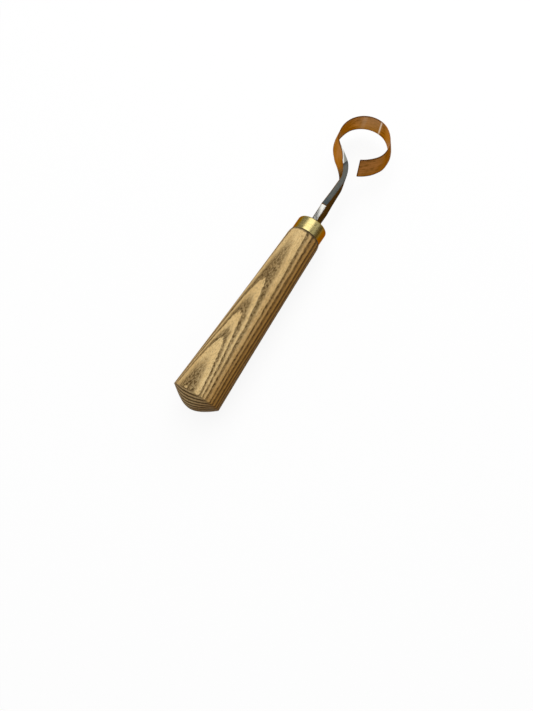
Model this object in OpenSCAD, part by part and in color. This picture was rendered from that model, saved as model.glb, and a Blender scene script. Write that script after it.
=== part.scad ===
// Ring scorp: a hollowing tool with a turned wooden grip, a brass ferrule and
// a forged strip of steel that is rolled into an open, slightly conical ring.
// The tool lies along X with its ring ahead and the ring's own axis upright.

/* [Grip] */
// Length of the grip from the rim of its domed end to the ferrule
grip_length = 120.2; // [100:0.1:150]
// Diameter at the rim of the domed end
butt_diameter = 30.2; // [26:0.1:36]
// Diameter half-way along the grip
middle_diameter = 25.4; // [23:0.1:28]
// Diameter of the grip just behind the rounding at the ferrule
neck_diameter = 21.6; // [20.4:0.1:24]
// Height of the dome on the end
dome_height = 7.7; // [4:0.1:11]
// Rounding of the dome at its tip: small for a plain cone, large for a flat cap
dome_round = 10; // [1:0.1:20]
// Length over which the wood rounds down to the ferrule
neck_round = 2.2; // [0.6:0.1:4]

/* [Ferrule] */
// Outside diameter of the brass tube
ferrule_diameter = 20; // [18:0.1:22]
// Length of the brass tube
ferrule_length = 10; // [8:0.1:16]
// Wall of the brass tube
ferrule_wall = 2; // [1.7:0.1:3]
// Radius rounded on the outer edge of the front end
ferrule_round = 1.5; // [0.4:0.1:1.6]
// How far the wood stops short of the ferrule's front end
tenon_recess = 0.6; // [0.2:0.1:2]

/* [Ring] */
// Centre of the ring, ahead of the ferrule
ring_reach = 69.1; // [62:0.1:80]
// Centre of the ring, to the left of the tool's axis
ring_offset = 2.6; // [0:0.1:4]
// Largest outside diameter of the ring
ring_diameter = 39; // [34:0.1:44]
// Height of the band
band_height = 14.3; // [13:0.1:17]
// Thickness of the band where it is thickest
band_thickness = 1.6; // [1.4:0.1:2.6]
// How much further out the lower edge stands than the upper edge
band_flare = 1.5; // [0:0.1:3]
// Direction of the free end from the ring's centre, from straight ahead
free_end_angle = 199; // [190:0.5:230]
// Height over which the band thins to its upper edge
upper_bevel = 10.8; // [2:0.1:11]
// Height of the bevel ground on the lower edge
lower_bevel = 1.3; // [0.8:0.1:1.9]
// Thickness left at the upper edge
upper_edge = 0.4; // [0.3:0.1:1]
// Thickness left at the lower edge
lower_edge = 1.3; // [0.5:0.1:1.3]

/* [Shank] */
// Thickness of the shank
shank_thickness = 3.7; // [3.3:0.1:5]
// Height of the shank at the ferrule
shank_height = 8.8; // [7:0.1:11]
// Straight run of the shank ahead of the ferrule
shank_straight = 33; // [26:0.1:40]
// Lean of the shank at the ferrule, in degrees
shank_lean = 8; // [0:0.5:15]
// Length of the bright flat ground on top of the shank
flat_length = 14; // [8:0.1:20]
// Depth of that flat
flat_depth = 0.4; // [0.1:0.1:0.8]
// Small chamfer along the outer corners of the shank
shank_chamfer = 0.4; // [0.2:0.1:0.8]
// How much thickness the strip keeps on its outer side through the bend
bend_belly = 1.25; // [0:0.05:1.5]
// How far that thickness runs out over the ring, in degrees
belly_runout = 15; // [6:1:25]

/* [Tang] */
// Length of the tang from its shoulders to its tip
tang_length = 60; // [40:1:80]
// Thickness of the tang at its shoulders
tang_thickness = 3; // [2.4:0.1:3.2]
// Height of the tang at its shoulders
tang_height = 5.6; // [4.5:0.1:6.2]
// Thickness of the tang at its tip
tip_thickness = 2; // [1.5:0.1:2.4]
// Height of the tang at its tip
tip_height = 3; // [2:0.1:4]

/* [Fits] */
// Gap between the wood's tenon and the inside of the ferrule
tenon_gap = 0.03; // [0.01:0.01:0.1]
// Thinnest film of resin between the tang's corners and the drilled hole
resin_film = 0.3; // [0.15:0.05:0.6]
// Resin below the tip of the tang
resin_foot = 2; // [0.5:0.1:5]

/* [Hidden] */
$fn = 120;

// Places along the tool's axis, from the rim of the domed end
ferrule_front = grip_length + ferrule_length;
tenon_end = ferrule_front - tenon_recess;
tip_x = tenon_end - tang_length;
hole_end = tip_x - resin_foot;
flat_end = ferrule_front + flat_length;
bend_x = ferrule_front + shank_straight;
ring_x = ferrule_front + ring_reach;

// Turned sizes of the grip
tenon_radius = ferrule_diameter / 2 - ferrule_wall - tenon_gap;
tang_lean = tang_height * tan(shank_lean);
hole_radius = norm([tang_thickness + tang_lean, tang_height]) / 2 + resin_film;
dome_steps = 12;
profile_steps = 10;
round_steps = 6;

// The band's inner face at half height, and the middle of its wall
widest_z = lower_bevel - band_height / 2;
ring_inner = ring_diameter / 2 - band_thickness + band_flare * widest_z / band_height;
ring_middle = ring_inner + band_thickness / 2;
ring_lean = atan(band_flare / band_height);

// The bend that carries the straight shank into the ring without a corner
bend_reach = ring_x - bend_x;
bend_radius = (pow(bend_reach, 2) + pow(ring_offset, 2) - pow(ring_middle, 2))
    / (2 * (ring_middle + ring_offset));
bend_turn = atan2(bend_reach, bend_radius - ring_offset);
bend_length = bend_radius * bend_turn * PI / 180;
shank_run = bend_x - tenon_end + bend_length;
lean_run = shank_run - (flat_end - tenon_end);
straight_steps = 8;
bend_steps = 24;

// How quickly the lean of the shank comes round to that of the band
lean_ease = 3.5;

// The outer side keeps its thickness over this stretch of the bend, with a crisp
// upper corner, and loses a share of it up to the ring
belly_start = 0.25;
belly_full = 0.85;
belly_loss = 0.28;
crisp_start = 0.15;
crisp_end = 0.4;

// The bevel comes in over this stretch of the bend, and a short stub that is
// a little smaller than the band carries the strip into the ring
grind_start = 0.65;
grind_run = 0.42;
runout_steps = 10;
stub_angle = 2;
stub_inset = 0.04;

function mix(a, b, u) = a + (b - a) * u;
function clamp(u) = min(1, max(0, u));

// Radius of the grip at a share u of its length, through its three diameters
function grip_radius(u) =
    let (a = butt_diameter / 2, m = middle_diameter / 2, b = neck_diameter / 2)
    a * (1 - u) * (1 - 2 * u) + 4 * m * u * (1 - u) + b * u * (2 * u - 1);

// Depth of the dome behind the rim at a radius r: a cone with a rounded tip
function dome_depth(r) =
    let (rim = norm([butt_diameter / 2, dome_round]))
    dome_height * (rim - norm([r, dome_round])) / (rim - dome_round);

dome_points = [for (i = [0:dome_steps - 1])
    let (r = butt_diameter / 2 * i / dome_steps)
    [r, -dome_depth(r)]];
grip_points = [for (i = [0:profile_steps])
    let (u = i / profile_steps)
    [grip_radius(u), u * (grip_length - neck_round)]];
neck_step = neck_diameter / 2 - ferrule_diameter / 2;
neck_points = [for (i = [1:round_steps])
    let (a = 90 * i / round_steps)
    [neck_diameter / 2 - neck_step * (1 - cos(a)),
     grip_length - neck_round + neck_round * sin(a)]];

// Along the shank: height and lean after a run s from the tang's shoulders
function height_at(s) = mix(shank_height, band_height, clamp(s / shank_run));
function lean_at(s) =
    let (u = clamp((s - flat_end + tenon_end) / lean_run))
    mix(-shank_lean, ring_lean, 1 - pow(1 - u, lean_ease));
function grind_at(u) = clamp((u - grind_start) / grind_run);
function crisp_at(u) = clamp((u - crisp_start) / (crisp_end - crisp_start));
function belly_at(u) =
    let (rise = clamp((u - belly_start) / (belly_full - belly_start)),
         fall = clamp((u - belly_full) / (1 - belly_full)))
    bend_belly * (rise * rise * (3 - 2 * rise) - belly_loss * fall * fall);

// Cross-section of the strip: distance out to the left, then height
function section(thick, high, lean, drop, grind, inset, belly = 0, crisp = 0) =
    let (low = -high / 2, top = high / 2 - drop, slope = tan(lean),
         side = shank_chamfer,
         bevel_low = mix(side, lower_bevel, grind),
         bevel_top = mix(side, upper_bevel, grind),
         edge_low = mix(thick - side, lower_edge, grind) + belly,
         edge_top = mix(thick + belly - side * (1 - crisp), upper_edge, grind),
         inner = -thick / 2)
    [[inner - low * slope + inset, low + inset],
     [inner - low * slope + edge_low - inset, low + inset],
     [inner - (low + bevel_low) * slope + thick + belly - inset, low + bevel_low],
     [inner - (top - bevel_top) * slope + thick + belly - inset, top - bevel_top],
     [inner - top * slope + edge_top - inset, top - inset],
     [inner - top * slope + inset, top - inset]];

// A cross-section stood upright at a place on the strip's centre line
function stand(place, heading, shape) = [for (p = shape)
    [place[0] - p[0] * sin(heading), place[1] + p[0] * cos(heading), p[1]]];

function on_axis(x, shape) = stand([x, 0], 0, shape);
function straight_section(x) =
    section(shank_thickness, height_at(x - tenon_end), lean_at(x - tenon_end), 0, 0, 0);
function bend_section(u) =
    let (s = bend_x - tenon_end + u * bend_length)
    stand([bend_x + bend_radius * sin(u * bend_turn),
           bend_radius * (1 - cos(u * bend_turn))],
          u * bend_turn,
          section(mix(shank_thickness, band_thickness, u), height_at(s), lean_at(s), 0,
                  grind_at(u), 0, belly_at(u), crisp_at(u)));
function ring_section(grind, inset, belly) =
    section(band_thickness, band_height, ring_lean, 0, grind, inset, belly, 1);
function on_ring(heading, shape) =
    stand([ring_x - ring_middle * sin(heading), ring_offset + ring_middle * cos(heading)],
          heading, shape);

tang_stations = [
    on_axis(tip_x, section(tip_thickness, tip_height, -shank_lean, 0, 0, 0)),
    on_axis(tenon_end, section(tang_thickness, tang_height, -shank_lean, 0, 0, 0))];
flat_stations = [
    on_axis(tenon_end, section(shank_thickness, shank_height, -shank_lean, flat_depth, 0, 0)),
    on_axis(flat_end, section(shank_thickness, height_at(flat_end - tenon_end),
                              -shank_lean, flat_depth, 0, 0)),
    on_axis(flat_end + flat_depth, straight_section(flat_end + flat_depth))];
straight_stations = [for (i = [1:straight_steps])
    let (x = mix(flat_end + flat_depth, bend_x, i / straight_steps))
    on_axis(x, straight_section(x))];
bend_stations = [for (i = [1:bend_steps]) bend_section(i / bend_steps)];
runout_stations = [for (i = [1:runout_steps])
    let (share = i / runout_steps,
         past = ring_middle * belly_runout * share * PI / 180 / bend_length)
    on_ring(bend_turn - belly_runout * share,
            ring_section(grind_at(1 + past), share == 1 ? stub_inset : 0,
                         belly_at(1) * (1 - share)))];
ring_turn = bend_turn - belly_runout;
stub_station = on_ring(ring_turn - stub_angle, ring_section(1, stub_inset, 0));
blade_stations = concat(tang_stations, flat_stations, straight_stations,
                        bend_stations, runout_stations, [stub_station]);

// The part stands on its lowest point, centred over it
low_centre = [(ring_x + ring_diameter / 2 - dome_height) / 2, ring_offset,
              -butt_diameter / 2];

module placed() {
    translate(-low_centre) children();
}

module along_axis() {
    rotate([0, 90, 0]) children();
}

// A solid skinned over a row of cross-sections
module skinned(stations) {
    sides = len(stations[0]);
    last = len(stations) - 1;
    points = [for (s = stations) for (p = s) p];
    walls = [for (i = [0:last - 1]) for (j = [0:sides - 1])
        let (a = i * sides + j, b = i * sides + (j + 1) % sides)
        each [[a, a + sides, b + sides], [a, b + sides, b]]];
    first_cap = [for (j = [0:sides - 1]) j];
    last_cap = [for (j = [0:sides - 1]) last * sides + sides - 1 - j];
    polyhedron(points, concat([first_cap, last_cap], walls));
}

// Half outline of the grip: its domed end, its neck and the ferrule's tenon
module grip_outline() {
    polygon(concat(dome_points, grip_points, neck_points,
                   [[tenon_radius, grip_length], [tenon_radius, tenon_end],
                    [0, tenon_end]]));
}

module tang_hole() {
    along_axis()
        translate([0, 0, hole_end])
            cylinder(r = hole_radius, h = tenon_end - hole_end + tenon_recess);
}

module handle() {
    color("burlywood") placed() difference() {
        along_axis() rotate_extrude() grip_outline();
        tang_hole();
    }
}

// Half outline of the ferrule's wall, with its rounded front edge
module ferrule_outline() {
    outside = ferrule_diameter / 2;
    bore = outside - ferrule_wall;
    translate([bore, 0]) square([ferrule_wall, ferrule_length - ferrule_round]);
    translate([bore, 0]) square([ferrule_wall - ferrule_round, ferrule_length]);
    intersection() {
        translate([outside - ferrule_round, ferrule_length - ferrule_round])
            circle(r = ferrule_round, $fn = 48);
        translate([bore, 0]) square([ferrule_wall, ferrule_length]);
    }
}

module ferrule() {
    color("goldenrod") placed()
        translate([grip_length, 0, 0])
            along_axis() rotate_extrude() ferrule_outline();
}

// The rolled band, from its free end round to the shank
module ring_band() {
    start = free_end_angle - 360;
    translate([ring_x, ring_offset, 0])
        rotate([0, 0, start])
            rotate_extrude(angle = 90 + ring_turn - start, $fn = 180)
                translate([ring_middle, 0]) polygon(ring_section(1, 0, 0));
}

module blade() {
    color("slategray") placed() {
        skinned(blade_stations);
        ring_band();
    }
}

module tang_bedding() {
    color("khaki") placed() difference() {
        along_axis()
            translate([0, 0, hole_end]) cylinder(r = hole_radius, h = tenon_end - hole_end);
        skinned(tang_stations);
    }
}

handle();
ferrule();
blade();
tang_bedding();
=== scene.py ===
import bpy
import bmesh
import math
from mathutils import Matrix, Vector


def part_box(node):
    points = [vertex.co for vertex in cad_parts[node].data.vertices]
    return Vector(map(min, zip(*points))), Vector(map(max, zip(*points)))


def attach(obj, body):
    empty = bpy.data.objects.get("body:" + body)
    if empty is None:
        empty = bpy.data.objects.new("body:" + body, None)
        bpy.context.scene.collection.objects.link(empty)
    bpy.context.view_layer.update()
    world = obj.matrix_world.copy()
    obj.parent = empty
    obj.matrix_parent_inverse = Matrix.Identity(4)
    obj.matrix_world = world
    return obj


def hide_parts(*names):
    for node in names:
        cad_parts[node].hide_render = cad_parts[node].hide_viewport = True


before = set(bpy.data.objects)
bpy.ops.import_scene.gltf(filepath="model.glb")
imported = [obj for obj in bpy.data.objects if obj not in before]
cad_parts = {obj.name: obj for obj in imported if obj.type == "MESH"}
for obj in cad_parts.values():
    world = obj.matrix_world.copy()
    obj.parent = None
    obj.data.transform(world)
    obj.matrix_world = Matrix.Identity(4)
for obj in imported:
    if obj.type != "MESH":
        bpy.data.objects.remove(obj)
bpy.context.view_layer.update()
mm = 0.001
mergeReach = 0.002      # points closer than this are one, in mm
sameSpot = 0.01         # slack when an edge is looked up by its place, in mm
print("frame loaded:", sorted(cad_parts))

# the tool's axis and the ferrule's seat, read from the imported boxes, in mm
handleLow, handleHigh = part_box("handle")
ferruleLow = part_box("ferrule")[0]
axisY = (handleLow.y + handleHigh.y) / 2 / mm
axisZ = (handleLow.z + handleHigh.z) / 2 / mm
seatX = ferruleLow.x / mm


def clearSelection():
    if bpy.context.object and bpy.context.object.mode != "OBJECT":
        bpy.ops.object.mode_set(mode="OBJECT")
    bpy.ops.object.select_all(action="DESELECT")


def mixed(a, b, share):
    return a + (b - a) * share


def clamped(value):
    return min(1.0, max(0.0, value))


def past(base, run):
    # a range given as distances from a base
    return base + run[0], base + run[1]


def addNode(tree, kind, settings=None, inputs=None):
    made = tree.nodes.new(kind)
    for key, value in (settings or {}).items():
        setattr(made, key, value)
    for key, value in (inputs or {}).items():
        if isinstance(value, bpy.types.NodeSocket):
            tree.links.new(value, made.inputs[key])
        else:
            made.inputs[key].default_value = value
    return made


def calc(tree, operation, a, b=0.0, c=0.0):
    made = addNode(tree, "ShaderNodeMath", {"operation": operation}, {0: a, 1: b, 2: c})
    return made.outputs[0]


def ramp(tree, value, low, high, smooth=True):
    kind = "SMOOTHSTEP" if smooth else "LINEAR"
    made = addNode(tree, "ShaderNodeMapRange", {"interpolation_type": kind, "clamp": True},
                   {"Value": value, "From Min": low, "From Max": high, "To Min": 0.0, "To Max": 1.0})
    return made.outputs[0]


def part(tree, value, low, high, share):
    # a ramp that rises only to this share
    return calc(tree, "MULTIPLY", ramp(tree, value, low, high), share)


def fading(tree, value, low, high, smooth=True):
    # a ramp that falls from 1 to 0
    return calc(tree, "SUBTRACT", 1.0, ramp(tree, value, low, high, smooth))


def wavered(tree, value, noise, amount):
    return calc(tree, "ADD", value, calc(tree, "MULTIPLY", calc(tree, "SUBTRACT", noise, 0.5), amount))


def slanted(tree, value, other, slope):
    return calc(tree, "ADD", value, calc(tree, "MULTIPLY", other, slope))


def tint(tree, share, a, b):
    made = addNode(tree, "ShaderNodeMix", {"data_type": "RGBA", "blend_type": "MIX", "clamp_factor": True})
    for index, value in ((0, share), (6, a), (7, b)):
        if isinstance(value, bpy.types.NodeSocket):
            tree.links.new(value, made.inputs[index])
        else:
            made.inputs[index].default_value = (*value, 1.0)
    return made.outputs[2]


def between(tree, share, low, high):
    made = addNode(tree, "ShaderNodeMapRange", {"clamp": True},
                   {"Value": share, "From Min": 0.0, "From Max": 1.0, "To Min": low, "To Max": high})
    return made.outputs[0]


def stretched(tree, place, amounts, shift=(0.0, 0.0, 0.0)):
    made = addNode(tree, "ShaderNodeMapping", {"vector_type": "POINT"},
                   {"Vector": place, "Scale": amounts, "Location": shift})
    return made.outputs[0]


def speckle(tree, place, amounts, detail, roughness, shift=(0.0, 0.0, 0.0)):
    made = addNode(tree, "ShaderNodeTexNoise", {"noise_dimensions": "3D"},
                   {"Vector": stretched(tree, place, amounts, shift), "Scale": 1.0,
                    "Detail": detail, "Roughness": roughness})
    return made.outputs["Fac"]


def bumped(tree, height, strength, deep, before=None):
    made = addNode(tree, "ShaderNodeBump", {},
                   {"Height": height, "Strength": strength, "Distance": deep * mm})
    if before is not None:
        tree.links.new(before, made.inputs["Normal"])
    return made.outputs[0]


def apart(tree, place):
    return addNode(tree, "ShaderNodeSeparateXYZ", {}, {0: place}).outputs


def fromAxis(tree, place, shift=(0.0, 0.0, 0.0)):
    flat = stretched(tree, place, (0.0, 1.0, 1.0), shift)
    return addNode(tree, "ShaderNodeVectorMath", {"operation": "LENGTH"}, {0: flat}).outputs["Value"]


def newFinish(name):
    finish = bpy.data.materials.new(name)
    finish.use_nodes = True
    tree = finish.node_tree
    return finish, tree, tree.nodes["Principled BSDF"]


def toolPlace(tree, turn=0.0):
    # Object coordinates in mm from the rim along the tool's axis, turned about that axis
    coords = addNode(tree, "ShaderNodeTexCoord")
    y = axisY * math.cos(turn) - axisZ * math.sin(turn)
    z = axisY * math.sin(turn) + axisZ * math.cos(turn)
    made = addNode(tree, "ShaderNodeMapping", {"vector_type": "POINT"},
                   {"Vector": coords.outputs["Object"], "Scale": (1 / mm, 1 / mm, 1 / mm),
                    "Rotation": (turn, 0.0, 0.0),
                    "Location": (grip["length"] - seatX, -y, -z)})
    return made.outputs[0]


# the turned grip, in mm
grip = {
    "length": 120.2, "buttRadius": 15.1, "middleRadius": 12.7, "neckRadius": 10.8,
    "dome": 7.7, "domeRound": 10.0, "neckRound": 2.2, "neckEase": 5.0, "rimRound": 0.2,
    "tenonRadius": 7.97, "tenonEnd": 129.6, "holeRadius": 3.68, "holeEnd": 67.6,
    "domeSteps": 22, "bodySteps": 30, "neckSteps": 12, "rimSteps": 4, "spinSteps": 144, "smoothAngle": 28.0,
    "askew": 0.034, "askewSide": (0.78, 0.625), "askewFade": 25.0,
}
wood = {
    # the brownest colour here is painted shade for the grip's right side and left edge
    "pale": (0.78, 0.58, 0.283), "warm": (0.60, 0.375, 0.14), "shadeBrown": (0.43, 0.205, 0.040),
    "fleck": (0.48, 0.305, 0.115), "end": (0.48, 0.31, 0.15),
    # the last colour here is painted shade for the shoulder beside the ferrule
    "pore": (0.070, 0.038, 0.012), "neckShade": (0.030, 0.022, 0.013),
    "roughness": (0.46, 0.66), "fibreRough": 0.5, "shine": 0.04,
    # noises: stretch, detail, roughness and shift
    "slow": ((0.035, 0.10, 0.10), 2.0, 0.5), "fine": ((0.30, 0.9, 0.9), 2.0, 0.6),
    "coarse": ((0.55, 1.45, 1.45), 2.0, 0.6), "dashes": ((0.75, 3.4, 3.4), 2.0, 0.55),
    "fibre": ((0.12, 4.0, 4.0), 3.0, 0.6), "broad": ((0.018, 0.06, 0.06), 2.0, 0.5, (7.0, 3.0, 1.0)),
    "grainy": ((0.8, 1.25, 1.25), 3.0, 0.7, (3.0, 5.0, 2.0)),
    # which way the growth layers lie, and the depths in mm at which each begins, outermost last
    "layerTurn": 17.3, "pithDepth": 22.0, "slowBend": 0.6, "fineBend": 0.34,
    "layers": (-19.0, -17.0, -15.0, -13.0, -11.0, -9.0, -7.0, -5.0, -3.0, -1.0, 1.0, 3.0,
               5.0, 7.05, 8.95, 10.2, 11.95, 12.88, 13.6, 15.0, 16.4),
    "layerDark": (0.24, 0.76), "layerEnd": (0.97, 1.0), "darkness": (0.48, 0.97),
    "stayPale": 10.88,      # the layer under the longest arch is pale up to this depth
    # the lower layers lie further apart along the grip
    "spread": 0.21, "spreadBelow": 11.8, "spreadRun": (5.0, 75.0),
    # ranges, most with the share they rise to
    "coarsePores": (0.44, 0.60), "dashPores": (0.48, 0.60, 0.8),
    "coarseStray": (0.58, 0.68, 0.5), "dashStray": (0.58, 0.68, 0.4),
    "broadWarm": (0.38, 0.70, 0.6), "fibreWarm": (0.42, 0.70, 0.5), "grainFleck": (0.44, 0.66, 0.75),
    # where the painted shade lies on the grip's right side and left edge
    "rightShade": (0.12, 0.97), "leftEdgeShade": (0.78, 0.98, 0.6), "flank": (0.55, 0.90, 0.5),
    # the cut end
    "endLayer": 2.0, "endWaver": 0.35, "endDark": (0.30, 0.60), "endStop": (0.88, 1.0),
    "endRun": (-1.4, 0.2), "endTint": 0.55, "endLines": 0.92,
    # where the painted shade on the shoulder beside the ferrule lies
    "neckShadeWaver": 1.6, "neckShadeRun": (-2.4, -0.5), "neckShadeShare": 0.85,
    "poreBump": (0.5, 0.12), "fibreBump": (0.25, 0.04),
}


def onTool(point):
    # a profile point (mm along the axis from the rim, radius) in the part's frame, in metres
    along, radius = point
    return Vector(((seatX - grip["length"] + along) * mm, axisY * mm, (axisZ + radius) * mm))


def turnedPiece(name, profile, steps):
    clearSelection()
    bpy.ops.mesh.primitive_plane_add(size=mm)
    piece = bpy.context.object
    piece.name = name
    piece.data.name = name
    bpy.ops.object.mode_set(mode="EDIT")
    bpy.ops.mesh.select_all(action="SELECT")
    bpy.ops.mesh.merge(type="CENTER")
    here = onTool(profile[0])
    bpy.ops.transform.translate(value=here)
    for point in profile[1:]:
        there = onTool(point)
        bpy.ops.mesh.extrude_region_move(TRANSFORM_OT_translate={"value": there - here})
        here = there
    bpy.ops.mesh.select_all(action="SELECT")
    bpy.ops.mesh.spin(steps=steps, angle=2 * math.pi, center=(0, axisY * mm, axisZ * mm), axis=(1, 0, 0))
    bpy.ops.mesh.select_all(action="SELECT")
    bpy.ops.mesh.remove_doubles(threshold=mergeReach * mm)
    bpy.ops.mesh.normals_make_consistent(inside=False)
    bpy.ops.object.mode_set(mode="OBJECT")
    return piece


def bevelLoop(piece, along, radius, offset, segments):
    # rounds the turned edge that lies at this place of the profile
    bpy.ops.object.mode_set(mode="EDIT")
    bpy.ops.mesh.select_mode(type="EDGE")
    bpy.ops.mesh.select_all(action="DESELECT")
    shape = bmesh.from_edit_mesh(piece.data)
    edgeX = (seatX - grip["length"] + along) * mm
    for edge in shape.edges:
        near = []
        for vert in edge.verts:
            out = math.hypot(vert.co.y - axisY * mm, vert.co.z - axisZ * mm)
            near.append(abs(vert.co.x - edgeX) < sameSpot * mm and abs(out - radius * mm) < sameSpot * mm)
        edge.select = all(near)
    shape.select_flush_mode()
    bmesh.update_edit_mesh(piece.data)
    bpy.ops.mesh.bevel(offset=offset * mm, segments=segments, affect="EDGES", profile=0.5)
    bpy.ops.mesh.select_mode(type="VERT")
    bpy.ops.object.mode_set(mode="OBJECT")


def setAskew(piece):
    # the rim of the domed end is cut a little askew
    for vert in piece.data.vertices:
        along = vert.co.x / mm - seatX + grip["length"]
        if along < grip["askewFade"]:
            y, z = vert.co.y / mm - axisY, vert.co.z / mm - axisZ
            out = y * grip["askewSide"][0] + z * grip["askewSide"][1]
            share = min(math.hypot(y, z) / grip["buttRadius"], 1.0)
            fade = 1 - clamped(along / grip["askewFade"])
            vert.co.x -= grip["askew"] * out * share ** 3 * fade ** 2 * mm


def gripRadius(share):
    a, m, b = grip["buttRadius"], grip["middleRadius"], grip["neckRadius"]
    return a * (1 - share) * (1 - 2 * share) + 4 * m * share * (1 - share) + b * share * (2 * share - 1)


def gripProfile():
    butt, tip = grip["buttRadius"], grip["domeRound"]
    rim = math.hypot(butt, tip)
    points = []
    # a cone with a rounded tip
    for i in range(grip["domeSteps"] + 1):
        radius = butt * i / grip["domeSteps"]
        points.append((-grip["dome"] * (rim - math.hypot(radius, tip)) / (rim - tip), radius))
    body = grip["length"] - grip["neckRound"]
    start = grip["length"] - grip["neckEase"]
    for i in range(1, grip["bodySteps"] + 1):
        along = start * i / grip["bodySteps"]
        points.append((along, gripRadius(along / body)))
    # the neck eases down to the ferrule
    drop = gripRadius(start / body) - ferrule["radius"]
    for i in range(1, grip["neckSteps"] + 1):
        angle = math.pi / 2 * i / grip["neckSteps"]
        points.append((start + grip["neckEase"] * math.sin(angle), ferrule["radius"] + drop * math.cos(angle)))
    # the tenon, and the hole drilled for the tang
    points += [(grip["length"], grip["tenonRadius"]), (grip["tenonEnd"], grip["tenonRadius"]),
               (grip["tenonEnd"], grip["holeRadius"]), (grip["holeEnd"], grip["holeRadius"]), (grip["holeEnd"], 0.0)]
    return points


def layerCount(tree, depth):
    # how many growth layers lie below this depth
    layers = wood["layers"]
    last = len(layers) - 1
    lowest, highest = layers[0], layers[-1]
    steps = [(layers[i], i) for i in range(1, last)]
    under = max(i for i in range(last) if layers[i] < wood["stayPale"])
    steps.append((wood["stayPale"], under + wood["layerDark"][0]))
    curve = addNode(tree, "ShaderNodeFloatCurve", {}, {"Value": ramp(tree, depth, lowest, highest, False)})
    line = curve.mapping.curves[0]
    for level, count in steps:
        line.points.new((level - lowest) / (highest - lowest), count / last)
    for point in line.points:
        point.handle_type = "VECTOR"
    curve.mapping.update()
    return calc(tree, "MULTIPLY", curve.outputs[0], float(last))


def woodFinish():
    finish, tree, bsdf = newFinish("oiledAsh")
    place = toolPlace(tree, math.radians(wood["layerTurn"]))
    along = apart(tree, place)[0]
    # depth through the growth layers, bent a little by noise
    trueDepth = fromAxis(tree, place, (0.0, 0.0, wood["pithDepth"]))
    trueDepth = calc(tree, "SUBTRACT", trueDepth, wood["pithDepth"])
    slow = speckle(tree, place, *wood["slow"])
    fine = speckle(tree, place, *wood["fine"])
    depth = wavered(tree, trueDepth, slow, wood["slowBend"])
    depth = wavered(tree, depth, fine, wood["fineBend"])
    below = calc(tree, "MAXIMUM", calc(tree, "SUBTRACT", wood["spreadBelow"], trueDepth), 0.0)
    below = calc(tree, "MULTIPLY", below, ramp(tree, along, *wood["spreadRun"]))
    depth = slanted(tree, depth, below, wood["spread"])
    # each layer darkens slowly, then ends at once
    share = calc(tree, "FRACT", layerCount(tree, depth))
    early = calc(tree, "MULTIPLY", ramp(tree, share, *wood["layerDark"]),
                 fading(tree, share, *wood["layerEnd"], False))
    # open pores: short dashes along the grain, coarse and fine
    coarse = speckle(tree, place, *wood["coarse"])
    dashes = speckle(tree, place, *wood["dashes"])
    pores = calc(tree, "MAXIMUM", ramp(tree, coarse, *wood["coarsePores"]), part(tree, dashes, *wood["dashPores"]))
    stray = calc(tree, "MAXIMUM", part(tree, coarse, *wood["coarseStray"]), part(tree, dashes, *wood["dashStray"]))
    fibre = speckle(tree, place, *wood["fibre"])
    broad = speckle(tree, place, *wood["broad"])
    grainy = speckle(tree, place, *wood["grainy"])
    ground = tint(tree, part(tree, broad, *wood["broadWarm"]), wood["pale"], wood["warm"])
    ground = tint(tree, part(tree, fibre, *wood["fibreWarm"]), ground, wood["warm"])
    ground = tint(tree, part(tree, grainy, *wood["grainFleck"]), ground, wood["fleck"])
    # painted shade: browner to the right, the side turned from the light, and along the left edge
    straight = toolPlace(tree)
    across = calc(tree, "DIVIDE", apart(tree, straight)[1], fromAxis(tree, straight))
    rightward = calc(tree, "MULTIPLY", across, -1.0)
    ground = tint(tree, ramp(tree, rightward, *wood["rightShade"]), ground, wood["shadeBrown"])
    ground = tint(tree, part(tree, across, *wood["leftEdgeShade"]), ground, wood["shadeBrown"])
    # the layers run more solid where they leave the surface steeply
    flank = part(tree, calc(tree, "ABSOLUTE", across), *wood["flank"])
    solid = between(tree, calc(tree, "MAXIMUM", pores, flank), *wood["darkness"])
    dark = calc(tree, "MAXIMUM", calc(tree, "MULTIPLY", early, solid), stray)
    # the cut end shows evenly spaced layers as solid dark lines
    endShare = slanted(tree, calc(tree, "DIVIDE", trueDepth, wood["endLayer"]), fine, wood["endWaver"])
    endShare = calc(tree, "FRACT", endShare)
    lines = calc(tree, "MULTIPLY", ramp(tree, endShare, *wood["endDark"]),
                 fading(tree, endShare, *wood["endStop"], False))
    endGrain = fading(tree, along, *wood["endRun"])
    ground = tint(tree, calc(tree, "MULTIPLY", endGrain, wood["endTint"]), ground, wood["end"])
    dark = tint(tree, endGrain, dark, calc(tree, "MULTIPLY", lines, wood["endLines"]))
    colour = tint(tree, dark, ground, wood["pore"])
    # painted shade in the corner beside the ferrule, on the rounded shoulder turned from the light
    shadeEdge = wavered(tree, along, fine, wood["neckShadeWaver"])
    neckShaded = part(tree, shadeEdge, *past(grip["length"], wood["neckShadeRun"]), wood["neckShadeShare"])
    colour = tint(tree, neckShaded, colour, wood["neckShade"])
    tree.links.new(colour, bsdf.inputs["Base Color"])
    rough = calc(tree, "MAXIMUM", dark, calc(tree, "MULTIPLY", fibre, wood["fibreRough"]))
    tree.links.new(between(tree, rough, *wood["roughness"]), bsdf.inputs["Roughness"])
    bsdf.inputs["Specular IOR Level"].default_value = wood["shine"]
    # turned surface: pores sit a little low
    low = calc(tree, "MULTIPLY", dark, -1.0)
    normal = bumped(tree, low, *wood["poreBump"])
    normal = bumped(tree, fibre, *wood["fibreBump"], normal)
    tree.links.new(normal, bsdf.inputs["Normal"])
    return finish


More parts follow.
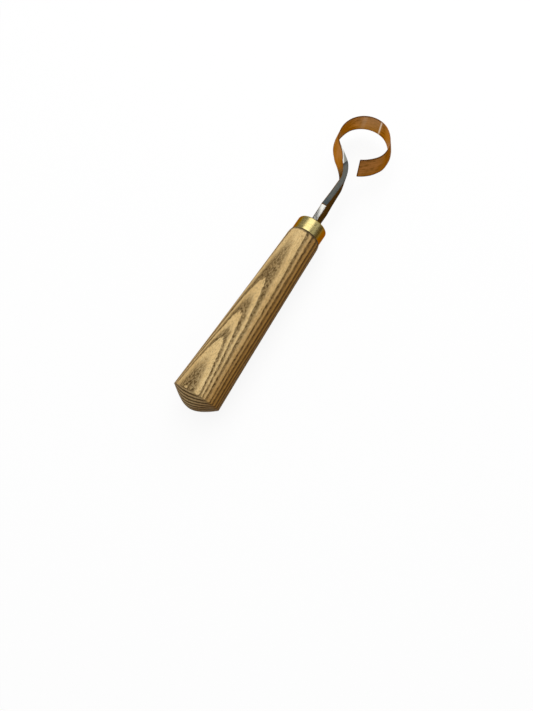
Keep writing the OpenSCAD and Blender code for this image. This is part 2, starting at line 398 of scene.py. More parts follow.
# the brass ferrule, in mm
ferrule = {
    "radius": 10.0, "length": 10.0, "wall": 2.0, "frontRound": 1.5, "backChamfer": 0.35,
    "roundSteps": 8, "spinSteps": 144, "smoothAngle": 28.0,
}
brass = {
    # the brown and orange colours here are painted shade and painted reflection low on the sides
    "clean": (0.445, 0.375, 0.165), "sideOrange": (0.265, 0.094, 0.002), "dull": (0.43, 0.345, 0.12),
    "brown": (0.26, 0.155, 0.028), "sheen": (0.70, 0.44, 0.12), "roughness": (0.23, 0.44),
    # noises: stretch, detail and roughness
    "patches": ((0.22, 0.22, 0.22), 4.0, 0.6), "lines": ((5.0, 0.05, 0.05), 3.0, 0.7),
    "lineDull": (0.40, 0.66, 0.5), "patchDull": (0.50, 0.74, 0.4), "lineRough": (0.44, 0.58),
    # heights above the axis below which the painted shade and reflection is brown, then orange
    "brownBelow": (6.6, 8.6), "sideOrangeBelow": (4.6, 6.4), "waver": 1.6, "leftSlope": -0.10,
    "lineBump": (0.12, 0.02),
}


def ferruleProfile():
    outside, bore = ferrule["radius"], ferrule["radius"] - ferrule["wall"]
    start, end = grip["length"], grip["length"] + ferrule["length"]
    chamfer, corner = ferrule["backChamfer"], ferrule["frontRound"]
    points = [(start, bore), (start, outside - chamfer), (start + chamfer, outside)]
    for i in range(ferrule["roundSteps"] + 1):
        angle = math.pi / 2 * i / ferrule["roundSteps"]
        points.append((end - corner + corner * math.sin(angle), outside - corner + corner * math.cos(angle)))
    points += [(end, bore), (start, bore)]
    return points


def brassFinish():
    finish, tree, bsdf = newFinish("turnedBrass")
    place = toolPlace(tree)
    _, y, z = apart(tree, place)
    patches = speckle(tree, place, *brass["patches"])
    lines = speckle(tree, place, *brass["lines"])
    # painted shade and painted reflection: browner, then orange, low on the sides and more so on the left
    height = wavered(tree, z, patches, brass["waver"])
    height = slanted(tree, height, calc(tree, "MAXIMUM", y, 0.0), brass["leftSlope"])
    colour = tint(tree, part(tree, lines, *brass["lineDull"]), brass["clean"], brass["dull"])
    colour = tint(tree, part(tree, patches, *brass["patchDull"]), colour, brass["dull"])
    colour = tint(tree, fading(tree, height, *brass["brownBelow"]), colour, brass["brown"])
    colour = tint(tree, fading(tree, height, *brass["sideOrangeBelow"]), colour, brass["sideOrange"])
    tree.links.new(colour, bsdf.inputs["Base Color"])
    # polished turning lines with duller ones between them
    rough = between(tree, ramp(tree, lines, *brass["lineRough"]), *brass["roughness"])
    tree.links.new(rough, bsdf.inputs["Roughness"])
    bsdf.inputs["Metallic"].default_value = 1.0
    bsdf.inputs["Specular Tint"].default_value = (*brass["sheen"], 1.0)
    tree.links.new(bumped(tree, lines, *brass["lineBump"]), bsdf.inputs["Normal"])
    return finish


# the blade: one strip from the tang's tip to the free end of the ring, in mm and degrees
blade = {
    "tangTip": 69.6, "shoulder": 129.6, "tipSize": (2.0, 3.0), "tangSize": (3.0, 5.6),
    "thickness": 3.7, "height": 8.8, "straight": 33.0, "lean": -8.0,
    "flatLength": 14.0, "flatDepth": 0.4, "chamfer": 0.4,
    "ringReach": 69.1, "ringOffset": 2.6, "ringDiameter": 38.98, "bandHeight": 14.3, "bandThickness": 1.6,
    "flare": 1.5, "freeEnd": 199.0, "upperBevel": 10.8, "lowerBevel": 1.3, "upperEdge": 0.4, "lowerEdge": 1.3,
    "leanEase": 3.5, "grindStart": 0.65, "grindRun": 0.42, "runOut": 15.0,
    "belly": 1.25, "bellyStart": 0.08, "bellyFull": 0.85, "bellyLoss": 0.28, "crisp": (0.15, 0.4),
    "straightSteps": 10, "bendSteps": 36, "runOutSteps": 12, "ringSteps": 104,
    "landBack": (0.8, 0.3, 0.5), "opened": 0.5, "openedFrom": 225.0,
    # the ring is rolled by hand and a little out of round: the angle and half spread of each place,
    # then how far the upper rim, the lower inner rim and the lower outer rim stand out there
    "unround": ((-52.0, 36.0, -0.42, -0.55, -0.17), (-108.0, 30.0, 0.45, 0.2, -0.045),
                (-106.0, 16.0, 0.0, 0.0, 0.3), (80.0, 32.0, 0.0, -0.55, 0.0)),
    "ringWithin": 3.0, "angleSlack": 0.1,      # which points count as the ring
    "endCorner": 0.7, "endSteps": 4, "endBeyond": 70.0, "endLevel": 0.1, "endFacing": 0.9,
    "edgeRound": 0.07, "edgeSteps": 2, "edgeAngle": 32.0, "smoothAngle": 30.0,
    "topFacing": 0.8, "innerFacing": 0.7,      # how squarely a face looks up, or in, to take that finish
}
outerTop, innerTop = 4, 5      # two corners of the strip's section
steel = {
    "copper": (0.44, 0.187, 0.060), "copperDeep": (0.22, 0.083, 0.014), "copperPale": (0.53, 0.235, 0.082),
    # the two lightest copper colours on the next line are a painted highlight and a painted reflection
    "mottle": (0.115, 0.050, 0.006), "glintColour": (0.80, 0.66, 0.52), "reflectedCopper": (0.36, 0.185, 0.07),
    # dark and lighter colours of the painted shade along the rims
    "rimDark": (0.080, 0.032, 0.007), "rimLighter": (0.20, 0.078, 0.017),
    "brown": (0.19, 0.079, 0.0105), "black": (0.155, 0.075, 0.0115),
    "scale": (0.038, 0.044, 0.039), "scaleBlue": (0.0195, 0.030, 0.031),
    "scalePale": (0.056, 0.056, 0.046), "scaleDark": (0.012, 0.014, 0.013),
    "bright": (0.335, 0.331, 0.308), "brightGrey": (0.045, 0.046, 0.042),
    # the land's lighter colour is a painted reflection along its outer edge
    "land": (0.10, 0.102, 0.092), "landGlint": (0.285, 0.285, 0.268),
    "shankSheen": (0.75, 0.60, 0.38), "ringSheen": (0.60, 0.42, 0.24), "rimSheen": 0.7,
    # noises: stretch, detail, roughness and shift
    "streaks": ((0.14, 0.14, 2.0), 4.0, 0.66), "sidePatches": ((0.22, 0.22, 0.30), 4.0, 0.62),
    "sidePits": ((1.3, 1.3, 1.3), 3.0, 0.6), "mottles": ((0.17, 0.17, 0.7), 4.0, 0.66, (4.0, 2.0, 1.0)),
    "topPits": ((1.6, 1.6, 1.6), 4.0, 0.62), "topPatches": ((0.30, 0.30, 0.30), 4.0, 0.6),
    # the shank's sides: near black to brown, then copper through the bend
    "brownRun": (-2.0, 2.0), "brownWaver": 10.0, "copperRun": (171.5, 177.5), "copperWaver": 4.0, "copperRise": 0.4,
    # the ring's sides: ranges, some with the share they rise to
    "streakDeep": (0.42, 0.62, 0.85), "patchDeep": (0.48, 0.66, 0.75), "mottleDeep": (0.48, 0.64, 0.65),
    # painted shade on the ring's near side, and painted light where the shank comes in
    "nearRun": (-13.0, -2.0), "nearSlope": 0.35, "nearShare": 0.62,
    "shankSide": (-2.0, 8.0), "shankSideEnd": (-6.0, 4.0), "shankSideShare": 0.5,
    # the far wall inside the ring, in degrees round it: painted shade, painted light, a painted reflection and painted
    # highlights
    "wallSlope": 0.3, "wallDeep": (34.0, 70.0, 0.5), "wallPale": (-42.0, -18.0), "wallPaleShare": 0.8,
    "window": (-22.0, -8.0), "windowEnd": (24.0, 50.0), "windowShare": 0.6,
    "glintAt": (-11.0, 28.0), "glintWidth": (2.8, 7.0), "glintStrength": (1.0, 0.09),
    "glintCore": 0.25, "glintStreaks": (0.35, 0.6), "glintLeast": 0.6,
    # painted shade: dark lines along the rims and the cut end, and where they fade out
    "rimLine": (-1.2, -0.4), "rimShare": 0.85, "rimLeft": 0.25, "cutLine": (0.8, 3.4),
    "rimFadeFrom": (-98.0, -82.0), "rimFadeSideTo": (-20.0, 0.0), "rimFadeTopTo": (-27.0, -5.0),
    "rimFadeInsideTo": (-5.0, 17.0), "rimFadeSlope": 3.1,
    # the shank's top
    "scaleRange": (0.40, 0.62), "blueRun": (1.0, 9.0), "paleRun": (-2.0, 9.0), "paleShare": 0.6,
    "flatStop": (0.05, 0.35), "dullPatch": 5.0, "dullLeft": -2.2, "dullRun": (-8.2, -0.7), "dullPits": (0.22, 0.54),
    "landOuter": 0.55, "landInner": 0.64, "landWaver": 0.9, "landStart": (-0.15, 0.15), "scorch": (-2.6, -0.3, 0.95),
    # where the painted reflection on the land lies
    "landGlintAt": (0.6, 0.9), "landFade": (0.34, 1.15),
    "edgeRun": (-14.6, -12.6), "edgeFrom": (-20.0, -19.0), "edgeSide": (0.0, 2.0),
    "sideRoughness": (0.24, 0.44), "topRoughness": (0.46, 0.24), "topMetal": (0.55, 1.0),
    "streakBump": (0.18, 0.04), "sidePitBump": (0.18, 0.05), "topPitBump": (0.35, 0.08),
}

toolFront = grip["length"] + ferrule["length"]
flatEnd = toolFront + blade["flatLength"]
bendStart = toolFront + blade["straight"]
ringX = toolFront + blade["ringReach"]
widestZ = blade["lowerBevel"] - blade["bandHeight"] / 2
ringInner = blade["ringDiameter"] / 2 - blade["bandThickness"] + blade["flare"] * widestZ / blade["bandHeight"]
ringMiddle = ringInner + blade["bandThickness"] / 2
ringLean = math.atan(blade["flare"] / blade["bandHeight"])
bendReach = ringX - bendStart
bendRadius = (bendReach ** 2 + blade["ringOffset"] ** 2 - ringMiddle ** 2) / (2 * (ringMiddle + blade["ringOffset"]))
bendTurn = math.atan2(bendReach, bendRadius - blade["ringOffset"])
bendLength = bendRadius * bendTurn
shankRun = bendStart - blade["shoulder"] + bendLength
leanRun = shankRun - (flatEnd - blade["shoulder"])


def heightAt(run):
    return mixed(blade["height"], blade["bandHeight"], clamped(run / shankRun))


def leanAt(run):
    share = clamped((run - flatEnd + blade["shoulder"]) / leanRun)
    return mixed(math.radians(blade["lean"]), ringLean, 1 - (1 - share) ** blade["leanEase"])


def stripSection(thick, high, lean, drop=0.0, grind=0.0, belly=0.0, crisp=0.0):
    # distance out to the left, then height, round the strip from its inner lower corner
    low, top, slope, side = -high / 2, high / 2 - drop, math.tan(lean), blade["chamfer"]
    bevelLow = mixed(side, blade["lowerBevel"], grind)
    bevelTop = mixed(side, blade["upperBevel"], grind)
    edgeLow = mixed(thick - side, blade["lowerEdge"], grind) + belly
    edgeTop = mixed(thick + belly - side * (1 - crisp), blade["upperEdge"], grind)
    inner = -thick / 2
    return [(inner - low * slope, low), (inner - low * slope + edgeLow, low),
            (inner - (low + bevelLow) * slope + thick + belly, low + bevelLow),
            (inner - (top - bevelTop) * slope + thick + belly, top - bevelTop),
            (inner - top * slope + edgeTop, top), (inner - top * slope, top)]


def stood(x, y, heading, section):
    startX = seatX - grip["length"]
    return [Vector(((startX + x - out * math.sin(heading)) * mm,
                    (axisY + y + out * math.cos(heading)) * mm, (axisZ + up) * mm)) for out, up in section]


def shankSection(x):
    run = x - blade["shoulder"]
    return stripSection(blade["thickness"], heightAt(run), leanAt(run))


def grindAt(share):
    return clamped((share - blade["grindStart"]) / blade["grindRun"])


def bellyAt(share):
    rise = clamped((share - blade["bellyStart"]) / (blade["bellyFull"] - blade["bellyStart"]))
    fall = clamped((share - blade["bellyFull"]) / (1 - blade["bellyFull"]))
    return blade["belly"] * (rise * rise * (3 - 2 * rise) - blade["bellyLoss"] * fall * fall)


def nearness(value, middle, spread):
    # 1 at the middle, down to 0 at the spread
    return math.cos(math.pi / 2 * clamped(abs(value - middle) / spread)) ** 2


def bendSection(share):
    # the outer side keeps its thickness, with a crisp upper corner, where the strip bends into the ring
    run = bendStart - blade["shoulder"] + share * bendLength
    crispFrom, crispTo = blade["crisp"]
    section = stripSection(mixed(blade["thickness"], blade["bandThickness"], share), heightAt(run), leanAt(run),
                           0.0, grindAt(share), bellyAt(share), clamped((share - crispFrom) / (crispTo - crispFrom)))
    # the land's inner edge is ground back a little
    middle, spread, depth = blade["landBack"]
    out, up = section[innerTop]
    section[innerTop] = (out + depth * nearness(share, middle, spread), up)
    return section


def bladeStations():
    lean = math.radians(blade["lean"])
    stations = [stood(blade["tangTip"], 0, 0, stripSection(*blade["tipSize"], lean)),
                stood(blade["shoulder"], 0, 0, stripSection(*blade["tangSize"], lean))]
    for x in (blade["shoulder"], flatEnd):
        high = heightAt(x - blade["shoulder"])
        stations.append(stood(x, 0, 0, stripSection(blade["thickness"], high, lean, blade["flatDepth"])))
    stepX = flatEnd + blade["flatDepth"]
    for i in range(blade["straightSteps"] + 1):
        x = mixed(stepX, bendStart, i / blade["straightSteps"])
        stations.append(stood(x, 0, 0, shankSection(x)))
    for i in range(1, blade["bendSteps"] + 1):
        share = i / blade["bendSteps"]
        heading = share * bendTurn
        stations.append(stood(bendStart + bendRadius * math.sin(heading),
                              bendRadius * (1 - math.cos(heading)), heading, bendSection(share)))
    # the thickness runs out over the first part of the ring
    for i in range(1, blade["runOutSteps"] + 1):
        share = i / blade["runOutSteps"]
        turned = math.radians(blade["runOut"]) * share
        heading = bendTurn - turned
        section = stripSection(blade["bandThickness"], blade["bandHeight"], ringLean, 0.0,
                               grindAt(1 + ringMiddle * turned / bendLength), bellyAt(1) * (1 - share), 1.0)
        stations.append(stood(ringX - ringMiddle * math.sin(heading),
                              blade["ringOffset"] + ringMiddle * math.cos(heading), heading, section))
    return stations


def ringCentre():
    return ((seatX - grip["length"] + ringX) * mm, (axisY + blade["ringOffset"]) * mm, axisZ * mm)


def unroundAt(angle, up, out):
    # how far a corner of the ring stands off its true round, in mm
    low = clamped(0.5 - up / blade["bandHeight"])
    inner = out < ringInner - up * math.tan(ringLean) + blade["upperEdge"] / 2
    total = 0.0
    for middle, spread, upper, lowerInner, lowerOuter in blade["unround"]:
        total += nearness(angle, middle, spread) * mixed(upper, lowerInner if inner else lowerOuter, low)
    return total


def rolledBlade(name):
    stations = bladeStations()
    clearSelection()
    bpy.ops.mesh.primitive_circle_add(vertices=len(stations[0]), radius=mm, fill_type="NGON")
    piece = bpy.context.object
    piece.name = name
    piece.data.name = name
    bpy.ops.object.mode_set(mode="EDIT")
    bpy.ops.mesh.select_mode(type="VERT")
    shape = bmesh.from_edit_mesh(piece.data)
    shape.verts.ensure_lookup_table()
    for vert, spot in zip(shape.verts, stations[0]):
        vert.co = spot
    bpy.ops.mesh.select_all(action="SELECT")
    for before, after in zip(stations, stations[1:]):
        bpy.ops.mesh.extrude_region_move()
        shape = bmesh.from_edit_mesh(piece.data)
        # the new end face still lies on the last section: each corner goes on to its next place
        for vert in [v for v in shape.verts if v.select]:
            nearest = min(range(len(before)), key=lambda i: (before[i] - vert.co).length)
            vert.co = after[nearest]
        bmesh.update_edit_mesh(piece.data)
    # the ring: the end face is spun round the ring's axis to the free end
    centre = ringCentre()
    around = math.pi / 2 + bendTurn - math.radians(blade["runOut"] + blade["freeEnd"] - 360)
    bpy.ops.mesh.spin(steps=blade["ringSteps"], angle=around, center=centre, axis=(0, 0, 1))
    bpy.ops.mesh.select_all(action="SELECT")
    bpy.ops.mesh.remove_doubles(threshold=mergeReach * mm)
    bpy.ops.mesh.normals_make_consistent(inside=False)
    # the ring goes out of round, and its free end is sprung open a little
    shape = bmesh.from_edit_mesh(piece.data)
    endAngle, fromAngle = blade["freeEnd"], blade["openedFrom"]
    for vert in shape.verts:
        out = vert.co - Vector(centre)
        up = out.z / mm
        out.z = 0
        if abs(out.length / mm - ringMiddle) > blade["ringWithin"]:
            continue
        angle = math.degrees(math.atan2(out.y, out.x))
        shift = unroundAt(angle, up, out.length / mm)
        if endAngle - blade["angleSlack"] < angle % 360 < fromAngle:
            shift += blade["opened"] * ((fromAngle - angle % 360) / (fromAngle - endAngle)) ** 2
        vert.co += out.normalized() * shift * mm
    bmesh.update_edit_mesh(piece.data)
    bpy.ops.object.mode_set(mode="OBJECT")
    return piece


def bladePoint(share, corner):
    # one corner of the bend's section, in mm on the tool
    heading = share * bendTurn
    out = bendSection(share)[corner][0]
    return (bendStart + bendRadius * math.sin(heading) - out * math.sin(heading),
            bendRadius * (1 - math.cos(heading)) + out * math.cos(heading))


def ringAngle(tree, x, y):
    # degrees round the ring
    outX = calc(tree, "SUBTRACT", x, ringX)
    outY = calc(tree, "SUBTRACT", y, blade["ringOffset"])
    return calc(tree, "MULTIPLY", calc(tree, "ARCTAN2", outY, outX), math.degrees(1.0))


def beyondLine(tree, x, y, a, b, toward):
    # how far a place lies beyond the line through a and b
    normal = Vector((a[1] - b[1], b[0] - a[0])).normalized()
    if normal.dot(Vector(toward)) < 0:
        normal = -normal
    off = slanted(tree, calc(tree, "MULTIPLY", x, normal.x), y, normal.y)
    return calc(tree, "SUBTRACT", off, normal.x * a[0] + normal.y * a[1])


def wallColour(tree, copper, angle, streaks):
    # painted shade and painted light inside the ring: deeper at one end of the far wall and lighter at the other
    copper = tint(tree, part(tree, angle, *steel["wallDeep"]), copper, steel["copperDeep"])
    pale = calc(tree, "MULTIPLY", fading(tree, angle, *steel["wallPale"]), steel["wallPaleShare"])
    copper = tint(tree, pale, copper, steel["copperPale"])
    # a painted reflection: a lighter stretch between them, with two painted highlight lines
    window = calc(tree, "MULTIPLY", ramp(tree, angle, *steel["window"]), fading(tree, angle, *steel["windowEnd"]))
    copper = tint(tree, calc(tree, "MULTIPLY", window, steel["windowShare"]), copper, steel["reflectedCopper"])
    broken = ramp(tree, streaks, *steel["glintStreaks"])
    for middle, width, strength in zip(steel["glintAt"], steel["glintWidth"], steel["glintStrength"]):
        away = calc(tree, "ABSOLUTE", calc(tree, "SUBTRACT", angle, middle))
        mark = fading(tree, away, width * steel["glintCore"], width)
        mark = calc(tree, "MULTIPLY", mark, between(tree, broken, strength, strength * steel["glintLeast"]))
        copper = tint(tree, mark, copper, steel["glintColour"])
    return copper


def sideFinish(name, inside):
    finish, tree, bsdf = newFinish(name)
    place = toolPlace(tree)
    x, y, z = apart(tree, place)
    outX = calc(tree, "SUBTRACT", x, ringX)
    outY = calc(tree, "SUBTRACT", y, blade["ringOffset"])
    around = ringAngle(tree, x, y)
    streaks = speckle(tree, place, *steel["streaks"])
    patches = speckle(tree, place, *steel["sidePatches"])
    pits = speckle(tree, place, *steel["sidePits"])
    mottles = speckle(tree, place, *steel["mottles"])
    copper = tint(tree, part(tree, streaks, *steel["streakDeep"]), steel["copper"], steel["copperDeep"])
    copper = tint(tree, part(tree, patches, *steel["patchDeep"]), copper, steel["copperDeep"])
    if not inside:
        # painted shade: deeper colour on the near side of the ring, towards the free end
        near = fading(tree, slanted(tree, outY, outX, steel["nearSlope"]), *steel["nearRun"])
        copper = tint(tree, calc(tree, "MULTIPLY", near, steel["nearShare"]), copper, steel["copperDeep"])
    copper = tint(tree, part(tree, mottles, *steel["mottleDeep"]), copper, steel["mottle"])
    if inside:
        copper = wallColour(tree, copper, slanted(tree, around, z, steel["wallSlope"]), streaks)
        rimFade = fading(tree, slanted(tree, around, z, steel["rimFadeSlope"]), *steel["rimFadeInsideTo"])
    else:
        # painted light: lighter on the side where the shank comes in
        side = calc(tree, "MULTIPLY", ramp(tree, outY, *steel["shankSide"]), fading(tree, outX, *steel["shankSideEnd"]))
        copper = tint(tree, calc(tree, "MULTIPLY", side, steel["shankSideShare"]), copper, steel["copperPale"])
        rimFade = calc(tree, "MULTIPLY", ramp(tree, around, *steel["rimFadeFrom"]),
                    fading(tree, around, *steel["rimFadeSideTo"]))
    # painted shade along the edges: thin dark lines along both rims, fading out on the right
    rim = ramp(tree, calc(tree, "ABSOLUTE", z), *past(blade["bandHeight"] / 2, steel["rimLine"]))
    rim = calc(tree, "MULTIPLY", rim, between(tree, rimFade, 1.0, steel["rimLeft"]))
    copper = tint(tree, calc(tree, "MULTIPLY", rim, steel["rimShare"]), copper, steel["rimDark"])
    if not inside:
        # and painted shade along the cut of the free end, where the end face is in shadow
        away = calc(tree, "ABSOLUTE", calc(tree, "SUBTRACT", around, blade["freeEnd"] - 360))
        cut = fading(tree, away, *steel["cutLine"])
        copper = tint(tree, calc(tree, "MULTIPLY", cut, steel["rimShare"]), copper, steel["rimDark"])
    # near black at the ferrule, browner towards the bend, where the copper colour of the ring begins
    browner = wavered(tree, x, patches, steel["brownWaver"])
    brownFrom, brownTo = toolFront + steel["brownRun"][0], bendStart + steel["brownRun"][1]
    shank = tint(tree, ramp(tree, browner, brownFrom, brownTo), steel["black"], steel["brown"])
    turnX = slanted(tree, wavered(tree, x, patches, steel["copperWaver"]), z, steel["copperRise"])
    ringward = ramp(tree, turnX, *steel["copperRun"])
    tree.links.new(tint(tree, ringward, shank, copper), bsdf.inputs["Base Color"])
    tree.links.new(ringward, bsdf.inputs["Metallic"])
    bsdf.inputs["Specular IOR Level"].default_value = 0.0
    sheen = tint(tree, ringward, steel["shankSheen"], steel["ringSheen"])
    # the reflection on the rims is darkened too, as painted shade
    sheen = tint(tree, calc(tree, "MULTIPLY", rim, steel["rimSheen"]), sheen, steel["rimDark"])
    tree.links.new(sheen, bsdf.inputs["Specular Tint"])
    tree.links.new(between(tree, pits, *steel["sideRoughness"]), bsdf.inputs["Roughness"])
    normal = bumped(tree, streaks, *steel["streakBump"])
    normal = bumped(tree, pits, *steel["sidePitBump"], normal)
    tree.links.new(normal, bsdf.inputs["Normal"])
    return finish


def topFinish():
    finish, tree, bsdf = newFinish("scaledAndGroundSteel")
    place = toolPlace(tree)
    x, y, _ = apart(tree, place)
    pits = speckle(tree, place, *steel["topPits"])
    patches = speckle(tree, place, *steel["topPatches"])
    # forge scale on the shank's top, bluer beside the flat and paler through the bend
    scale = tint(tree, ramp(tree, patches, *steel["scaleRange"]), steel["scale"], steel["scalePale"])
    scale = tint(tree, fading(tree, x, *past(flatEnd, steel["blueRun"])), scale, steel["scaleBlue"])
    pale = part(tree, x, *past(bendStart, steel["paleRun"]), steel["paleShare"])
    scale = tint(tree, pale, scale, steel["scalePale"])
    # bright where ground: the flat at the ferrule, and the land that runs out on the ring
    flat = fading(tree, x, *past(flatEnd, steel["flatStop"]))
    a, b = bladePoint(steel["landOuter"], outerTop), bladePoint(steel["landInner"], innerTop)
    beyond = wavered(tree, beyondLine(tree, x, y, a, b, (1, 0)), pits, steel["landWaver"])
    land = ramp(tree, beyond, *steel["landStart"])
    silver = calc(tree, "MAXIMUM", flat, land)
    # the scale is darkest where the land begins
    scale = tint(tree, part(tree, beyond, *steel["scorch"]), scale, steel["scaleDark"])
    # the flat is duller near the ferrule and towards its left edge
    duller = slanted(tree, calc(tree, "MULTIPLY", patches, steel["dullPatch"]), y, steel["dullLeft"])
    dull = fading(tree, calc(tree, "ADD", x, duller), *past(flatEnd, steel["dullRun"]))
    dull = calc(tree, "MULTIPLY", calc(tree, "MULTIPLY", flat, dull), ramp(tree, pits, *steel["dullPits"]))
    shine = tint(tree, dull, steel["bright"], steel["brightGrey"])
    # painted reflection: the land is brightest along its outer edge
    c, d = (bladePoint(share, outerTop) for share in steel["landGlintAt"])
    inward = beyondLine(tree, x, y, c, d, (0, -1))
    landColour = tint(tree, ramp(tree, inward, *steel["landFade"]), steel["landGlint"], steel["land"])
    shine = tint(tree, land, shine, landColour)
    colour = tint(tree, silver, scale, shine)
    # painted shade: the ring's upper edge is dark, less so on the right
    edge = calc(tree, "MAXIMUM", ramp(tree, x, *past(ringX, steel["edgeRun"])),
                fading(tree, y, *past(blade["ringOffset"], steel["edgeSide"])))
    edge = calc(tree, "MULTIPLY", edge, ramp(tree, x, *past(ringX, steel["edgeFrom"])))
    around = ringAngle(tree, x, y)
    rimFade = calc(tree, "MULTIPLY", ramp(tree, around, *steel["rimFadeFrom"]), fading(tree, around, *steel["rimFadeTopTo"]))
    colour = tint(tree, edge, colour, tint(tree, rimFade, steel["rimDark"], steel["rimLighter"]))
    tree.links.new(colour, bsdf.inputs["Base Color"])
    tree.links.new(between(tree, silver, *steel["topMetal"]), bsdf.inputs["Metallic"])
    tree.links.new(between(tree, silver, *steel["topRoughness"]), bsdf.inputs["Roughness"])
    tree.links.new(bumped(tree, pits, *steel["topPitBump"]), bsdf.inputs["Normal"])
    return finish


def dressBlade(piece):
    piece.data.materials.append(sideFinish("brownedSteel", False))
    piece.data.materials.append(topFinish())
    piece.data.materials.append(sideFinish("brownedSteelInside", True))
    centre = Vector(ringCentre())
    for face in piece.data.polygons:
        inward = centre - face.center
        inward.z = 0
        if face.normal.z > blade["topFacing"]:
            face.material_index = 1
        elif inward.length < ringMiddle * mm and face.normal.dot(inward.normalized()) > blade["innerFacing"]:
            face.material_index = 2
    # square free end with its corners eased
    bpy.ops.object.mode_set(mode="EDIT")
    bpy.ops.mesh.select_mode(type="EDGE")
    bpy.ops.mesh.select_all(action="DESELECT")
    shape = bmesh.from_edit_mesh(piece.data)
    endAngle = math.radians(blade["freeEnd"])
    along = Vector((-math.sin(endAngle), math.cos(endAngle), 0))
    level = blade["endLevel"] * mm
    for face in shape.faces:
        if len(face.verts) <= 4 or abs(face.normal.dot(along)) <= blade["endFacing"]:
            continue
        if face.calc_center_median().x <= blade["endBeyond"] * mm:
            continue
        low = min(v.co.z for v in face.verts)
        high = max(v.co.z for v in face.verts)
        for edge in face.edges:
            heights = [v.co.z for v in edge.verts]
            edge.select = max(heights) < low + level or min(heights) > high - level
    shape.select_flush_mode()
    bmesh.update_edit_mesh(piece.data)
    bpy.ops.mesh.bevel(offset=blade["endCorner"] * mm, segments=blade["endSteps"], affect="EDGES", profile=0.5)
    bpy.ops.mesh.select_mode(type="VERT")
    bpy.ops.object.mode_set(mode="OBJECT")
    ease = piece.modifiers.new("easedEdges", "BEVEL")
    ease.width = blade["edgeRound"] * mm
    ease.segments = blade["edgeSteps"]
    ease.limit_method = "ANGLE"
    ease.angle_limit = math.radians(blade["edgeAngle"])
    bpy.ops.object.modifier_apply(modifier=ease.name)
    bpy.ops.object.shade_smooth_by_angle(angle=math.radians(blade["smoothAngle"]))


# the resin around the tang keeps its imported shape
resin = {
    "deep": (0.62, 0.48, 0.24), "pale": (0.78, 0.66, 0.42), "roughness": (0.2, 0.4),
    "cloud": ((0.35, 0.35, 0.35), 3.0, 0.5),
}


def resinFinish():
    finish, tree, bsdf = newFinish("curedResin")
    cloud = speckle(tree, toolPlace(tree), *resin["cloud"])
    tree.links.new(tint(tree, cloud, resin["deep"], resin["pale"]), bsdf.inputs["Base Color"])
    tree.links.new(between(tree, cloud, *resin["roughness"]), bsdf.inputs["Roughness"])
    return finish


def build():
    handlePiece = turnedPiece("turned_grip", gripProfile(), grip["spinSteps"])
    bevelLoop(handlePiece, 0.0, grip["buttRadius"], grip["rimRound"], grip["rimSteps"])
    setAskew(handlePiece)
    handlePiece.data.materials.append(woodFinish())
    bpy.ops.object.shade_smooth_by_angle(angle=math.radians(grip["smoothAngle"]))
    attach(handlePiece, "root")
    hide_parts("handle")
    print("grip turned:", len(handlePiece.data.polygons), "faces")

    ferrulePiece = turnedPiece("brass_ferrule", ferruleProfile(), ferrule["spinSteps"])
    ferrulePiece.data.materials.append(brassFinish())
    bpy.ops.object.shade_smooth_by_angle(angle=math.radians(ferrule["smoothAngle"]))
    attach(ferrulePiece, "root")
    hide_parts("ferrule")
    print("ferrule turned:", len(ferrulePiece.data.polygons), "faces")

    bladePiece = rolledBlade("rolled_blade")
    print("blade rolled:", len(bladePiece.data.polygons), "faces")
    dressBlade(bladePiece)
    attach(bladePiece, "root")
    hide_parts("blade")
    print("blade dressed:", len(bladePiece.data.polygons), "faces")

    bedding = resinFinish()
    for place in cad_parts["tang_bedding"].material_slots:
        place.material = bedding
    print("resin finished")


# the camera, with its place in mm and its focal length and picture height in pixels
shot = {
    "place": (-136.91, -77.913, 323.693), "focal": 547.2349, "pictureHeight": 711, "sensor": 36, "clipStart": 0.01,
    "right": (0.53515653, -0.84449988, -0.02067446), "down": (-0.81295641, -0.50820749, -0.28430092),
    "forward": (0.22958517, 0.16895293, -0.95851216),
}
# the floor, the air and the lights, in metres and watts
studio = {
    "floorSize": 8.0, "floorWhite": 0.9, "floorPale": 0.95, "floorBounce": 0.22,
    "airDark": 0.22, "airLight": 0.38, "airRange": (-0.9, 0.9), "lightSide": (-0.53, 0.84, 0.10),
    "key": {"toward": (0.42, 0.20, 0.885), "away": 1.1, "across": (0, -0.93, 0.36),
            "size": (0.9, 2.0), "watts": 14.4},
    "strip": {"toward": (0.452, -0.590, 0.670), "away": 1.1, "across": (0, -0.79, -0.61),
              "size": (0.36, 1.2), "watts": 0.95},
}


def setCamera():
    lens = bpy.data.cameras.new("bench_camera")
    lens.lens = shot["focal"] * shot["sensor"] / shot["pictureHeight"]
    lens.sensor_width = shot["sensor"]
    lens.sensor_fit = "AUTO"
    lens.clip_start = shot["clipStart"]
    camera = bpy.data.objects.new("bench_camera", lens)
    bpy.context.collection.objects.link(camera)
    right, down, ahead = (Vector(shot[k]) for k in ("right", "down", "forward"))
    turn = Matrix((right, -down, -ahead)).transposed().to_4x4()
    camera.matrix_world = Matrix.Translation(Vector(shot["place"]) * mm) @ turn
    bpy.context.scene.camera = camera


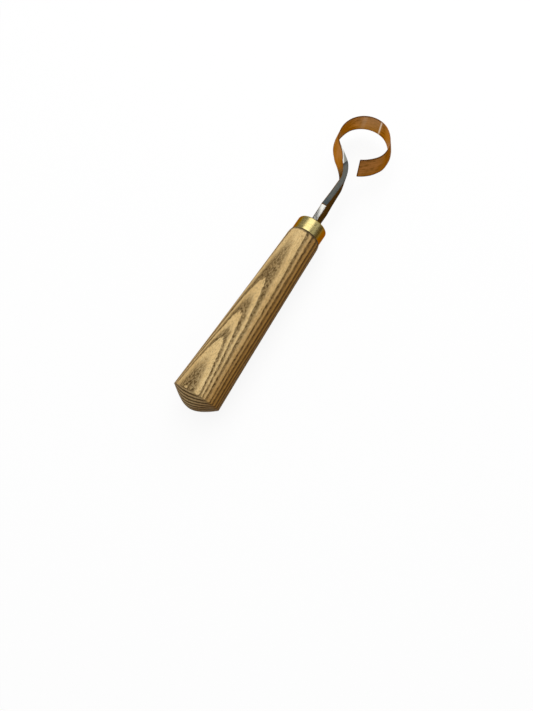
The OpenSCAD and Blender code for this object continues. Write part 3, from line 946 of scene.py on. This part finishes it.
def setFloor():
    clearSelection()
    bpy.ops.mesh.primitive_plane_add(size=studio["floorSize"], location=(0, 0, 0))
    floor = bpy.context.object
    floor.name = "bench_floor"
    finish = bpy.data.materials.new("paleFloor")
    finish.use_nodes = True
    tree = finish.node_tree
    tree.nodes.clear()
    path = addNode(tree, "ShaderNodeLightPath")
    seen = calc(tree, "MAXIMUM", path.outputs["Is Camera Ray"], path.outputs["Is Glossy Ray"])
    seen = calc(tree, "MAXIMUM", seen, path.outputs["Is Transmission Ray"])
    pale = between(tree, seen, studio["floorBounce"], studio["floorPale"])     # greyer to bounced light
    matt = addNode(tree, "ShaderNodeBsdfDiffuse", {}, {"Color": pale})
    white = addNode(tree, "ShaderNodeEmission", {}, {"Color": (1, 1, 1, 1), "Strength": 1.0})
    mixer = addNode(tree, "ShaderNodeMixShader", {},
                    {0: calc(tree, "MULTIPLY", seen, studio["floorWhite"]), 1: matt.outputs[0], 2: white.outputs[0]})
    addNode(tree, "ShaderNodeOutputMaterial", {}, {"Surface": mixer.outputs[0]})
    floor.data.materials.append(finish)


def setLight(name, lamp):
    data = bpy.data.lights.new(name, "AREA")
    data.shape = "RECTANGLE"
    data.size, data.size_y = lamp["size"]
    data.energy = lamp["watts"]
    light = bpy.data.objects.new(name, data)
    bpy.context.collection.objects.link(light)
    toward = Vector(lamp["toward"]).normalized()
    across = Vector(lamp["across"])
    across = (across - across.dot(toward) * toward).normalized()
    turn = Matrix((across, toward.cross(across), toward)).transposed().to_4x4()
    light.matrix_world = Matrix.Translation(toward * lamp["away"] + Vector((0, 0, axisZ * mm))) @ turn


def setStudio():
    setCamera()
    setFloor()
    setLight("key_softbox", studio["key"])
    setLight("side_strip", studio["strip"])
    world = bpy.data.worlds.new("studio_air")
    world.use_nodes = True
    tree = world.node_tree
    # soft air, lighter on the side of the key
    coords = addNode(tree, "ShaderNodeTexCoord")
    side = addNode(tree, "ShaderNodeVectorMath", {"operation": "DOT_PRODUCT"},
                   {0: coords.outputs["Generated"], 1: studio["lightSide"]})
    lit = ramp(tree, side.outputs["Value"], *studio["airRange"])
    grey = between(tree, lit, studio["airDark"], studio["airLight"])
    tree.links.new(grey, tree.nodes["Background"].inputs["Color"])
    bpy.context.scene.world = world
    bpy.context.scene.view_settings.view_transform = "Standard"
    print("studio set")


build()
setStudio()
